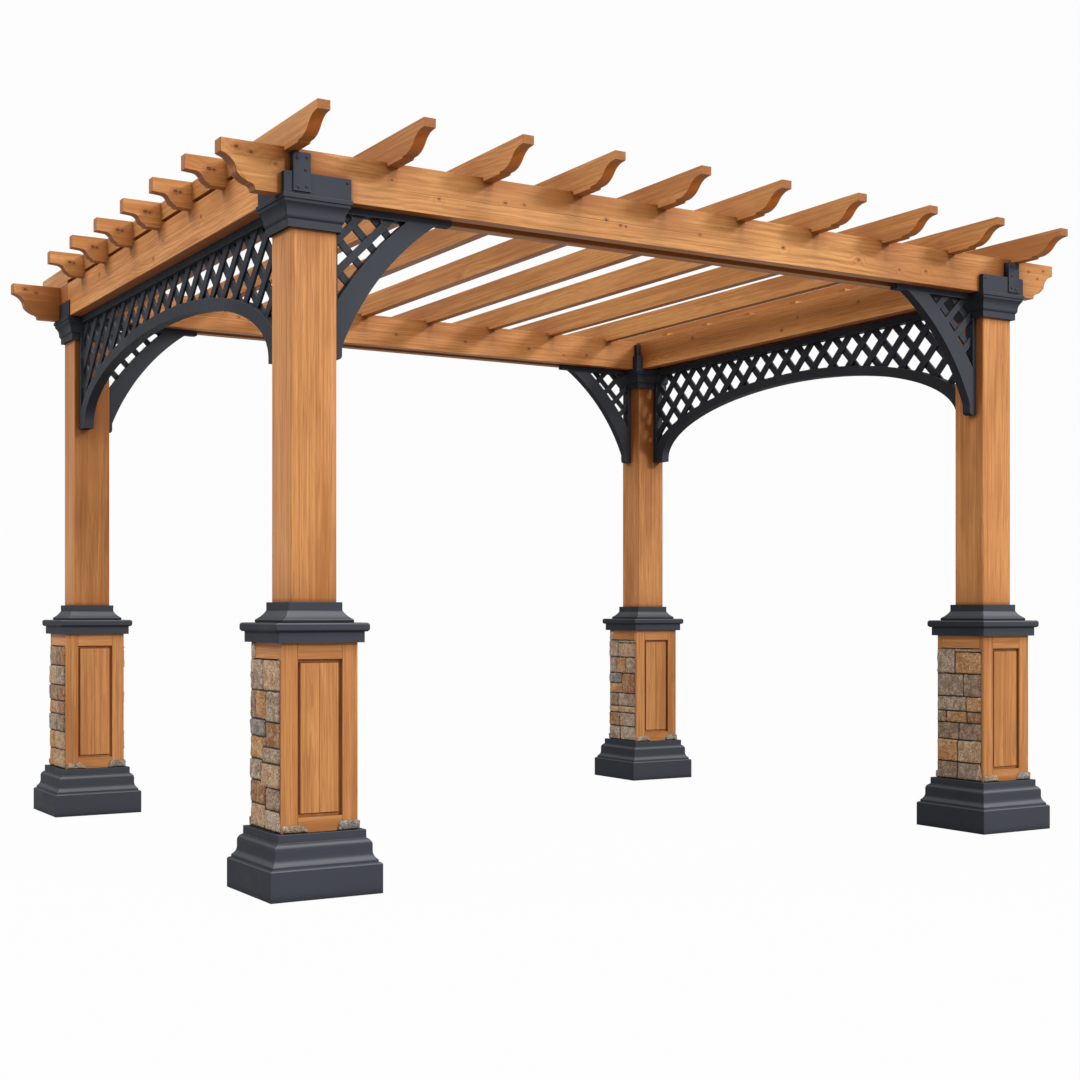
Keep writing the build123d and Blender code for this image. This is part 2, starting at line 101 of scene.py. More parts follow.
def stretched(tree, along, across, through, scales):
    """A place whose three directions are pulled out by different amounts."""
    step = tree.nodes.new("ShaderNodeCombineXYZ")
    for socket, source, scale in zip(step.inputs, (along, across, through), scales):
        link(tree, value_of(tree, "MULTIPLY", source, scale), socket)
    return step.outputs[0]


def tinted(tree, amount, under, over):
    """One colour laid over another by an amount."""
    step = tree.nodes.new("ShaderNodeMix")
    step.data_type = "RGBA"
    step.clamp_factor = True
    link(tree, amount, step.inputs[0])
    for socket, entry in ((step.inputs[6], under), (step.inputs[7], over)):
        if isinstance(entry, tuple):
            socket.default_value = (*entry, 1.0)
        else:
            link(tree, entry, socket)
    return step.outputs[2]


def edge_share(tree, reach):
    """How near a sharp edge a spot lies, from the turn of a rounded normal."""
    rounded = tree.nodes.new("ShaderNodeBevel")
    rounded.samples = 4
    rounded.inputs["Radius"].default_value = reach
    flat = tree.nodes.new("ShaderNodeNewGeometry")
    meet = tree.nodes.new("ShaderNodeVectorMath")
    meet.operation = "DOT_PRODUCT"
    link(tree, rounded.outputs["Normal"], meet.inputs[0])
    link(tree, flat.outputs["Normal"], meet.inputs[1])
    return value_of(tree, "SUBTRACT", 1.0, meet.outputs["Value"])


def nook_share(tree, reach):
    """How far a spot is shut in by what stands near it, as in a joint or a groove."""
    open_share = tree.nodes.new("ShaderNodeAmbientOcclusion")
    open_share.samples = 6
    open_share.inputs["Distance"].default_value = reach
    return value_of(tree, "SUBTRACT", 1.0, open_share.outputs["AO"])


def new_finish(name):
    """An empty material with a surface shader."""
    finish = bpy.data.materials.new(name)
    finish.use_nodes = True
    tree = finish.node_tree
    return finish, tree, tree.nodes["Principled BSDF"]


def timber(
    name,
    grain,
    knots=(),
    check=None,
    stain_and_light_shares=(1.0, 1.0, 1.0),
    scroll_stain_and_shade_share=1.0,
    painted_shade_share=1.0,
):
    """Stained softwood with its grain along one axis.

    A knot is its place along the grain, its height and its radius; a check is its two ends and
    its height. The shares scale the stain's red, green and blue, the colour of the scroll cuts,
    and the painted shade in joints and sheltered spots. Set for each member, the first two also
    paint light: lighter copies of the stain for members in more light, darker ones for shaded.
    """
    light_wood = (0.68, 0.304, 0.102)
    mid_wood = (0.485, 0.194, 0.058)
    dark_wood = (0.31, 0.104, 0.026)
    knot_wood = (0.062, 0.026, 0.013)
    joint_shade_wood = (0.12, 0.038, 0.012)
    scroll_wood = (0.3, 0.078, 0.008)
    shaded_wood = (0.27, 0.078, 0.013)
    worn_and_highlight_wood = (0.72, 0.38, 0.16)
    arris_reach = 0.006
    shade_reach = 0.24
    joint_reach = 0.03
    rings_per_metre = 82.0
    knot_stretch = 0.7
    knotless_share = 0.72
    far_off = 50.0

    # Each pattern's scale along the grain, across it and through the board
    knot_scales = (2.2, 6.0, 6.0)
    bend_scales = (0.8, 2.0, 2.0)
    ripple_scales = (2.4, 22.0, 22.0)
    band_scales = (0.7, 6.0, 6.0)
    stain_scales = (1.1, 6.0, 6.0)
    streak_scales = (1.5, 84.0, 84.0)
    line_scales = (3.4, 230.0, 230.0)
    fibre_scales = (11.0, 560.0, 560.0)
    check_scales = (5.0, 0.0, 0.0)

    light_wood = tuple(share * part for share, part in zip(stain_and_light_shares, light_wood))
    mid_wood = tuple(share * part for share, part in zip(stain_and_light_shares, mid_wood))
    scroll_wood = tuple(scroll_stain_and_shade_share * part for part in scroll_wood)
    finish, tree, surface = new_finish(name)
    where = tree.nodes.new("ShaderNodeTexCoord")
    board = tree.nodes.new("ShaderNodeAttribute")
    board.attribute_type = "OBJECT"
    board.attribute_name = "board"
    apart = tree.nodes.new("ShaderNodeCombineXYZ")
    for socket, step in zip(apart.inputs, (3.17, 2.31, 4.73)):
        link(tree, value_of(tree, "MULTIPLY", board.outputs["Fac"], step), socket)
    moved = tree.nodes.new("ShaderNodeVectorMath")
    link(tree, where.outputs["Object"], moved.inputs[0])
    link(tree, apart.outputs[0], moved.inputs[1])
    split = tree.nodes.new("ShaderNodeSeparateXYZ")
    link(tree, moved.outputs["Vector"], split.inputs[0])
    order = {"X": (0, 1, 2), "Y": (1, 0, 2), "Z": (2, 0, 1)}[grain]
    along, across, through = (split.outputs[number] for number in order)
    still = tree.nodes.new("ShaderNodeSeparateXYZ")
    link(tree, where.outputs["Object"], still.inputs[0])
    run, height = still.outputs[order[0]], still.outputs[2]

    def drawn_out(scales, detail):
        return cloud(tree, stretched(tree, along, across, through, scales), 1.0, detail)

    # Knots: the tight ones named for this board, or a sparse scatter of pin knots
    blur = cloud(tree, where.outputs["Object"], 95.0, 2.0)
    if knots:
        face = tree.nodes.new("ShaderNodeCombineXYZ")
        link(tree, value_of(tree, "MULTIPLY", run, knot_stretch), face.inputs[0])
        link(tree, height, face.inputs[1])
        nearest = far_off
        for knot_run, knot_height, knot_radius in knots:
            gap = tree.nodes.new("ShaderNodeVectorMath")
            gap.operation = "DISTANCE"
            link(tree, face.outputs[0], gap.inputs[0])
            gap.inputs[1].default_value = (knot_stretch * knot_run, knot_height, 0.0)
            radii = value_of(tree, "DIVIDE", gap.outputs["Value"], knot_radius)
            nearest = value_of(tree, "MINIMUM", radii, nearest)
    else:
        cell = tree.nodes.new("ShaderNodeTexVoronoi")
        cell.inputs["Scale"].default_value = 1.0
        link(tree, stretched(tree, along, across, through, knot_scales), cell.inputs["Vector"])
        chosen = tree.nodes.new("ShaderNodeSeparateColor")
        link(tree, cell.outputs["Color"], chosen.inputs[0])
        knotless = value_of(tree, "LESS_THAN", chosen.outputs[0], knotless_share)
        radii = value_of(tree, "MULTIPLY", cell.outputs["Distance"], 28.0)
        nearest = value_of(tree, "MULTIPLY_ADD", knotless, far_off, radii)
    nearest = value_of(tree, "ADD", nearest, value_of(tree, "MULTIPLY_ADD", blur, 0.9, -0.45))
    eye = faded(tree, nearest, 1.15, 0.7)
    rim = faded(tree, nearest, 3.4, 1.2, 0.0, 0.55)
    swell = faded(tree, nearest, 9.0, 0.5)

    # Growth rings: the board is cut some way off a heart that wanders along its length
    bend = drawn_out(bend_scales, 2.0)
    drift = value_of(tree, "MULTIPLY_ADD", bend, 0.2, -0.1)
    off_across = value_of(tree, "ADD", value_of(tree, "PINGPONG", across, 0.21), drift)
    off_through = value_of(tree, "ADD", value_of(tree, "PINGPONG", through, 0.17), 0.05)
    reach = value_of(
        tree,
        "SQRT",
        value_of(
            tree,
            "ADD",
            value_of(tree, "MULTIPLY", off_across, off_across),
            value_of(tree, "MULTIPLY", off_through, off_through),
        ),
    )
    ripple = drawn_out(ripple_scales, 3.0)
    waver = value_of(tree, "MULTIPLY_ADD", ripple, 2.6, value_of(tree, "MULTIPLY", swell, 1.5))
    turns = value_of(tree, "MULTIPLY_ADD", reach, rings_per_metre, waver)
    ring = value_of(tree, "FRACT", turns)
    late = value_of(tree, "MULTIPLY", faded(tree, ring, 0.3, 0.9), faded(tree, ring, 1.0, 0.93))
    shown = drawn_out(band_scales, 2.0)
    late = value_of(tree, "MULTIPLY", late, faded(tree, shown, 0.4, 0.62, 0.12, 1.0))

    # Broad stain tone, long streaks and fine fibres, with a tone of its own for each board
    own = tree.nodes.new("ShaderNodeTexWhiteNoise")
    own.noise_dimensions = "1D"
    link(tree, board.outputs["Fac"], own.inputs["W"])
    stain = drawn_out(stain_scales, 3.0)
    streak = drawn_out(streak_scales, 4.0)
    line = drawn_out(line_scales, 2.0)
    fibre = drawn_out(fibre_scales, 2.0)
    tone = value_of(tree, "MULTIPLY_ADD", streak, 0.85, value_of(tree, "MULTIPLY", stain, 0.85))
    own_tone = value_of(tree, "MULTIPLY_ADD", own.outputs["Value"], 0.16, -0.08)
    tone = value_of(tree, "ADD", tone, own_tone)
    tone = faded(tree, tone, 0.66, 1.04)
    shade = tinted(tree, tone, mid_wood, light_wood)
    shade = tinted(tree, value_of(tree, "MULTIPLY", late, 0.38), shade, dark_wood)
    shade = tinted(tree, faded(tree, line, 0.52, 0.72, 0.0, 0.55), shade, dark_wood)
    shade = tinted(tree, faded(tree, fibre, 0.5, 0.72, 0.0, 0.5), shade, dark_wood)
    shade = tinted(tree, faded(tree, stain, 0.47, 0.28, 0.0, 0.38), shade, dark_wood)
    shade = tinted(tree, rim, shade, dark_wood)
    shade = tinted(tree, eye, shade, knot_wood)
    shade = tinted(tree, faded(tree, nearest, 0.5, 0.1, 0.0, 0.75), shade, dark_wood)
    # Lighter along the arrises: partly wear, partly a painted highlight on the edges
    edge = edge_share(tree, arris_reach)
    shade = tinted(tree, faded(tree, edge, 0.04, 0.3, 0.0, 0.5), shade, worn_and_highlight_wood)

    # Sawn ends and scroll cuts drink more stain; painted shade darkens undersides, joints and nooks
    turned = tree.nodes.new("ShaderNodeSeparateXYZ")
    link(tree, tree.nodes.new("ShaderNodeNewGeometry").outputs["True Normal"], turned.inputs[0])
    sawn = value_of(tree, "ABSOLUTE", turned.outputs[order[0]])
    shade = tinted(tree, faded(tree, sawn, 0.15, 0.6, 0.0, 0.85), shade, dark_wood)
    # Painted shade: faces turned downwards are darkened towards the dark stain
    shade = tinted(tree, faded(tree, turned.outputs[2], -0.4, -0.9, 0.0, 0.85), shade, dark_wood)
    slanted = faded(tree, sawn, 0.15, 0.45)
    not_square = faded(tree, sawn, 0.98, 0.85)
    scroll = value_of(tree, "MULTIPLY", slanted, not_square)
    shade = tinted(tree, value_of(tree, "MULTIPLY", scroll, 0.9), shade, scroll_wood)
    # Painted shade: darker within a quarter metre of other parts, darker still in tight joints and
    # recesses
    painted_shelter_shade = faded(tree, nook_share(tree, shade_reach), 0.06, 0.27, 0.0, 0.8 * painted_shade_share)
    shade = tinted(tree, painted_shelter_shade, shade, shaded_wood)
    painted_joint_shade = faded(tree, nook_share(tree, joint_reach), 0.42, 0.85, 0.0, 0.8 * painted_shade_share)
    shade = tinted(tree, painted_joint_shade, shade, joint_shade_wood)
    relief = value_of(tree, "MULTIPLY_ADD", late, -0.5, value_of(tree, "MULTIPLY", fibre, 0.6))
    relief = value_of(tree, "SUBTRACT", relief, value_of(tree, "MULTIPLY", eye, 1.2))

    # A drying check: one hair crack along the grain with a pale lower lip
    if check:
        check_start, check_end, check_height = check
        waved = drawn_out(check_scales, 2.0)
        level = value_of(tree, "ADD", height, value_of(tree, "MULTIPLY_ADD", waved, 0.014, -0.007))
        within = value_of(
            tree,
            "MULTIPLY",
            faded(tree, run, check_start, check_start + 0.1),
            faded(tree, run, check_end, check_end - 0.3),
        )
        for drop, width, colour, weight in (
            (0.0, 0.0011, knot_wood, 0.6),
            (0.0022, 0.0013, worn_and_highlight_wood, 0.75),
        ):
            offset = value_of(tree, "SUBTRACT", level, check_height - drop)
            offset = value_of(tree, "ABSOLUTE", offset)
            crack = faded(tree, offset, width, 0.3 * width, 0.0, weight)
            crack = value_of(tree, "MULTIPLY", crack, within)
            shade = tinted(tree, crack, shade, colour)
            relief = value_of(tree, "SUBTRACT", relief, value_of(tree, "MULTIPLY", crack, 0.8))

    link(tree, shade, surface.inputs["Base Color"])
    link(tree, faded(tree, streak, 0.3, 0.7, 0.64, 0.48), surface.inputs["Roughness"])
    surface.inputs["Specular IOR Level"].default_value = 0.2
    bump = tree.nodes.new("ShaderNodeBump")
    bump.inputs["Strength"].default_value = 0.5
    bump.inputs["Distance"].default_value = 0.0006
    link(tree, relief, bump.inputs["Height"])
    link(tree, bump.outputs["Normal"], surface.inputs["Normal"])
    return finish


post_timber = timber("stained_timber_z", "Z")


def dress(piece, finish, board=0.0):
    """Give a piece its finish and its own stretch of grain."""
    piece.data.materials.clear()
    piece.data.materials.append(finish)
    piece["board"] = board


def ease(piece, width):
    """Ease the sharp edges of a piece, as a plane or a folded sheet leaves them."""
    join = piece.modifiers.new("join", "WELD")
    join.merge_threshold = 0.00002
    arris = piece.modifiers.new("arris", "BEVEL")
    arris.width = width
    arris.segments = 2
    arris.limit_method = "ANGLE"
    arris.angle_limit = math.radians(32)
    arris.use_clamp_overlap = True
    level = piece.modifiers.new("level", "WEIGHTED_NORMAL")
    level.weight = 90


for number, corner in enumerate(corners):
    post = nodes[f"{corner}_post"]
    dress(post, post_timber, 0.37 * number + 0.11)
    ease(post, post_arris)


# Plinths, pedestal caps, collars and capitals: mitred casings folded from sheet metal around
# each post. Their satin dark grey powder coat has a faint orange-peel texture. Painted light
# makes the front and back faces lighter and lays a painted highlight along upward-curving
# ledges; painted shade darkens undersides and hollows; the outer bends are lighter, partly thin
# coat and partly painted highlight.

casing_arris = 0.0025


def coated_metal(name):
    """Satin dark grey powder coat on sheet metal."""
    coat = (0.0275, 0.031, 0.039)
    painted_lit_coat = (0.0605, 0.066, 0.0795)
    thin_coat_and_highlight = (0.11, 0.116, 0.13)
    painted_highlight_coat = (0.165, 0.172, 0.187)
    dusty_coat = (0.044, 0.047, 0.055)
    painted_shade_coat = (0.008, 0.0085, 0.01)
    bend_reach = 0.005
    nook_reach = 0.05
    finish, tree, surface = new_finish(name)
    where = tree.nodes.new("ShaderNodeTexCoord")
    spot = where.outputs["Object"]
    drift = cloud(tree, spot, 3.2, 4.0)
    mottle = cloud(tree, spot, 46.0, 3.0)
    peel = cloud(tree, spot, 620.0, 2.0)
    shade = tinted(tree, faded(tree, drift, 0.42, 0.72, 0.0, 0.55), coat, dusty_coat)
    shade = tinted(tree, faded(tree, mottle, 0.5, 0.75, 0.0, 0.35), shade, dusty_coat)
    turned = tree.nodes.new("ShaderNodeSeparateXYZ")
    link(tree, tree.nodes.new("ShaderNodeNewGeometry").outputs["Normal"], turned.inputs[0])
    # Painted light: faces turned to the front or back are lighter than the sides
    painted_lit_side = value_of(tree, "ABSOLUTE", turned.outputs[1])
    shade = tinted(tree, faded(tree, painted_lit_side, 0.3, 0.9, 0.0, 0.8), shade, painted_lit_coat)
    # Painted highlight: a lighter band on faces turned partly upwards, brightest at front and back
    painted_ledge_highlight = value_of(
        tree,
        "MULTIPLY",
        faded(tree, turned.outputs[2], 0.25, 0.6, 0.0, 0.9),
        faded(tree, turned.outputs[2], 0.9, 0.65, 0.25, 1.0),
    )
    painted_ledge_highlight = value_of(tree, "MULTIPLY", painted_ledge_highlight, faded(tree, painted_lit_side, 0.05, 0.4, 0.35, 1.0))
    shade = tinted(tree, painted_ledge_highlight, shade, painted_highlight_coat)
    # Painted shade: faces turned downwards are darker
    shade = tinted(tree, faded(tree, turned.outputs[2], -0.15, -0.7, 0.0, 0.5), shade, painted_shade_coat)
    # Lighter on the outer bends: partly thin coat, partly a painted highlight
    bend = faded(tree, edge_share(tree, bend_reach), 0.05, 0.3, 0.0, 0.75)
    shade = tinted(tree, bend, shade, thin_coat_and_highlight)
    # Painted shade: darker in hollows and in the corners between mouldings
    painted_hollow_shade = faded(tree, nook_share(tree, nook_reach), 0.22, 0.6, 0.0, 0.8)
    shade = tinted(tree, painted_hollow_shade, shade, painted_shade_coat)
    link(tree, shade, surface.inputs["Base Color"])
    link(tree, faded(tree, mottle, 0.3, 0.7, 0.6, 0.7), surface.inputs["Roughness"])
    surface.inputs["Specular IOR Level"].default_value = 0.06
    bump = tree.nodes.new("ShaderNodeBump")
    bump.inputs["Strength"].default_value = 0.25
    bump.inputs["Distance"].default_value = 0.0003
    link(tree, peel, bump.inputs["Height"])
    link(tree, bump.outputs["Normal"], surface.inputs["Normal"])
    return finish


dark_metal = coated_metal("dark_coated_metal")
for corner in corners:
    for casing in ("plinth", "pedestal_cap", "post_collar", "capital"):
        piece = nodes[f"{corner}_{casing}"]
        dress(piece, dark_metal)
        ease(piece, casing_arris)


# Pedestal cases: a frame of upright stiles and level rails glued up around each post. The
# front and the back hold a raised panel with a V-groove down its middle, and the two other
# sides have a rail over a bed for the stone.

stile_width = 0.055
top_rail = 0.054
bottom_rail = 0.05
board_depth = 0.024
recess = 0.016
margin = 0.009
rise = 0.011
slope = 0.004
groove_half = 0.002
groove_depth = 0.002
panel_seat = 0.002
strip_width = 0.016
bed_depth = 0.02
rail_setback = 0.0004
eased = 0.0014
barely_eased = 0.0004


def to_frame(centre, along, out):
    """Places given along a face, outwards and up, as places in the frame."""
    up = Vector((0, 0, 1))
    return lambda a, n, z: centre + along * a + out * n + up * z


def add_block(mesh, place, low, high, slot, arris):
    """One eased board between two corners, given along the face, outwards and up."""
    spots = [
        place(a, n, z)
        for z in (low[2], high[2])
        for n in (low[1], high[1])
        for a in (low[0], high[0])
    ]
    corner = [mesh.verts.new(spot) for spot in spots]
    rows = ((0, 1, 3, 2), (4, 6, 7, 5), (0, 4, 5, 1), (2, 3, 7, 6), (0, 2, 6, 4), (1, 5, 7, 3))
    faces = [mesh.faces.new([corner[number] for number in row]) for row in rows]
    for face in faces:
        face.material_index = slot
    bmesh.ops.recalc_face_normals(mesh, faces=faces)
    edges = list({edge for face in faces for edge in face.edges})
    bmesh.ops.bevel(
        mesh,
        geom=edges,
        offset=arris,
        segments=2,
        profile=0.5,
        affect="EDGES",
        clamp_overlap=True,
        material=slot,
    )


def add_raised_panel(mesh, place, width, low, high, base, slot):
    """A raised field with sloping margins and a V-groove down its middle."""
    half = width / 2
    outline = (
        (-half, 0.0),
        (slope - half, rise),
        (-groove_half, rise),
        (0.0, rise - groove_depth),
        (groove_half, rise),
        (half - slope, rise),
        (half, 0.0),
    )
    levels = ((low, 0.0), (low + slope, 1.0), (high - slope, 1.0), (high, 0.0))
    loops = []
    for level, share in levels:
        front = [mesh.verts.new(place(a, base + n * share, level)) for a, n in outline]
        back = [mesh.verts.new(place(a, base - panel_seat, level)) for a in (half, -half)]
        loops.append(front + back)
    faces = []
    for under, over in zip(loops, loops[1:]):
        count = len(under)
        for number in range(count):
            after = (number + 1) % count
            faces.append(mesh.faces.new((under[number], under[after], over[after], over[number])))
    faces.append(mesh.faces.new(loops[0]))
    faces.append(mesh.faces.new(loops[-1]))
    for face in faces:
        face.material_index = slot
    bmesh.ops.recalc_face_normals(mesh, faces=faces)


def finished(mesh, name, finishes, smooth=False):
    """Turn a mesh under construction into a named piece that rides on the frame."""
    data = bpy.data.meshes.new(name)
    mesh.to_mesh(data)
    mesh.free()
    for finish in finishes:
        data.materials.append(finish)
    for face in data.polygons:
        face.use_smooth = smooth
    piece = bpy.data.objects.new(name, data)
    bpy.context.scene.collection.objects.link(piece)
    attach(piece, "root")
    return piece


# A darker copy of the stain, painted shade, with little painted shade at the joints
case_timbers = [
    timber(f"case_timber_{grain.lower()}", grain, stain_and_light_shares=(0.94, 0.94, 0.94), painted_shade_share=0.35)
    for grain in "ZXY"
]
upright_slot, rail_slot, side_rail_slot = range(3)
for number, corner in enumerate(corners):
    low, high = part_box(f"{corner}_pedestal")
    centre = (low + high) / 2
    centre.z = 0.0
    half = (high.x - low.x) / 2
    floor, head = low.z, high.z
    rail_foot = head - top_rail
    rail_head = floor + bottom_rail
    mesh = bmesh.new()
    for facing in (-1, 1):
        place = to_frame(centre, Vector((-facing, 0, 0)), Vector((0, facing, 0)))
        inner = half - stile_width
        back = half - board_depth
        for end in (-1, 1):
            sides = sorted((end * inner, end * half))
            add_block(
                mesh,
                place,
                (sides[0], back, floor),
                (sides[1], half, head),
                upright_slot,
                eased,
            )
        add_block(mesh, place, (-inner, back, rail_foot), (inner, half, head), rail_slot, eased)
        add_block(mesh, place, (-inner, back, floor), (inner, half, rail_head), rail_slot, eased)
        ground = half - recess
        add_block(
            mesh,
            place,
            (-inner, back, rail_head),
            (inner, ground, rail_foot),
            upright_slot,
            barely_eased,
        )
        add_raised_panel(
            mesh,
            place,
            2 * (inner - margin),
            rail_head + margin,
            rail_foot - margin,
            ground,
            upright_slot,
        )
    for facing in (-1, 1):
        place = to_frame(centre, Vector((0, facing, 0)), Vector((facing, 0, 0)))
        inner = half - board_depth
        bed = inner - bed_depth
        for end in (-1, 1):
            sides = sorted((end * inner, end * (half - strip_width)))
            add_block(
                mesh,
                place,
                (sides[0], bed, floor),
                (sides[1], inner, rail_foot),
                upright_slot,
                eased,
            )
        add_block(
            mesh,
            place,
            (-inner, bed, rail_foot),
            (inner, half - rail_setback, head),
            side_rail_slot,
            eased,
        )
    piece = finished(mesh, f"{corner}_panelled_case", case_timbers)
    piece["board"] = 0.29 * number + 0.53
    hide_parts(f"{corner}_pedestal")


# Stone facing: tumbled field stones in grey, tan and rust brown, bedded in mortar on the left and
# right of each pedestal and standing a little proud of the timber; the mortar's near-black colour
# is partly painted shade for the deep joints. Small returns of the same stone lap round the foot
# of the panelled faces.

stone_tones = {
    "grey": ((0.41, 0.295, 0.205), (0.66, 0.5, 0.375), (0.12, 0.084, 0.058)),
    "slate": ((0.29, 0.25, 0.22), (0.48, 0.425, 0.375), (0.085, 0.075, 0.066)),
    "tan": ((0.58, 0.355, 0.195), (0.76, 0.55, 0.35), (0.19, 0.105, 0.055)),
    "rust": ((0.62, 0.3, 0.12), (0.75, 0.46, 0.235), (0.2, 0.086, 0.034)),
    "brown": ((0.4, 0.192, 0.09), (0.58, 0.335, 0.178), (0.12, 0.056, 0.027)),
    "umber": ((0.34, 0.222, 0.145), (0.55, 0.39, 0.265), (0.1, 0.064, 0.04)),
    "pale": ((0.56, 0.4, 0.28), (0.72, 0.57, 0.43), (0.25, 0.172, 0.116)),
}


def field_stone(name, body, cloudy, vein):
    """Tumbled stone: body colour, pale clouds, dark veins, pits, worn edges, painted joint shade.
    """
    painted_joint_shade_colour = (0.03, 0.022, 0.016)
    rim_reach = 0.01
    joint_reach = 0.014
    rim_share = 1.1
    finish, tree, surface = new_finish(name)
    where = tree.nodes.new("ShaderNodeTexCoord")
    spot = where.outputs["Object"]
    patch = cloud(tree, spot, 30.0, 4.0, 0.62, 0.8)
    ridge = cloud(tree, spot, 38.0, 3.0, 0.55, 2.6)
    speck = cloud(tree, spot, 190.0, 4.0, 0.7)
    shade = tinted(tree, faded(tree, patch, 0.42, 0.58, 0.0, 1.0), body, cloudy)
    shade = tinted(tree, faded(tree, ridge, 0.42, 0.3, 0.0, 0.85), shade, vein)
    crack = value_of(tree, "ABSOLUTE", value_of(tree, "SUBTRACT", ridge, 0.53))
    shade = tinted(tree, faded(tree, crack, 0.042, 0.014, 0.0, 0.9), shade, vein)
    shade = tinted(tree, faded(tree, speck, 0.4, 0.26, 0.0, 0.45), shade, vein)
    shade = tinted(tree, faded(tree, speck, 0.56, 0.74, 0.0, 0.45), shade, cloudy)
    worn = faded(tree, edge_share(tree, rim_reach), 0.04, 0.28, 0.0, 0.8)
    shade = tinted(tree, worn, shade, tuple(rim_share * part for part in cloudy))
    # Painted shade: darker where the stone turns in towards its joints
    painted_joint_shade = faded(tree, nook_share(tree, joint_reach), 0.3, 0.75, 0.0, 0.85)
    shade = tinted(tree, painted_joint_shade, shade, painted_joint_shade_colour)
    link(tree, shade, surface.inputs["Base Color"])
    link(tree, faded(tree, patch, 0.3, 0.7, 0.92, 0.74), surface.inputs["Roughness"])
    surface.inputs["Specular IOR Level"].default_value = 0.2
    relief = value_of(tree, "MULTIPLY_ADD", ridge, 1.0, value_of(tree, "MULTIPLY", speck, 0.3))
    bump = tree.nodes.new("ShaderNodeBump")
    bump.inputs["Strength"].default_value = 1.0
    bump.inputs["Distance"].default_value = 0.011
    link(tree, relief, bump.inputs["Height"])
    link(tree, bump.outputs["Normal"], surface.inputs["Normal"])
    return finish


def bedding(name):
    """Sandy mortar raked back between the stones, near-black partly as painted joint shade."""
    dry_mortar = (0.05, 0.04, 0.031)
    dark_mortar = (0.018, 0.014, 0.011)
    damp_mortar = (0.012, 0.01, 0.009)
    finish, tree, surface = new_finish(name)
    where = tree.nodes.new("ShaderNodeTexCoord")
    sand = cloud(tree, where.outputs["Object"], 380.0, 3.0, 0.7)
    damp = cloud(tree, where.outputs["Object"], 24.0, 3.0)
    shade = tinted(tree, faded(tree, sand, 0.35, 0.7), dark_mortar, dry_mortar)
    shade = tinted(tree, faded(tree, damp, 0.45, 0.7, 0.0, 0.5), shade, damp_mortar)
    link(tree, shade, surface.inputs["Base Color"])
    link(tree, faded(tree, damp, 0.3, 0.7, 0.95, 0.85), surface.inputs["Roughness"])
    bump = tree.nodes.new("ShaderNodeBump")
    bump.inputs["Distance"].default_value = 0.0012
    link(tree, sand, bump.inputs["Height"])
    link(tree, bump.outputs["Normal"], surface.inputs["Normal"])
    return finish


stone_finishes = [field_stone(f"{tone}_stone", *colours) for tone, colours in stone_tones.items()]
stone_finishes.append(bedding("stone_mortar"))
stone_slots = {tone: number for number, tone in enumerate(stone_tones)}
mortar_slot = len(stone_tones)

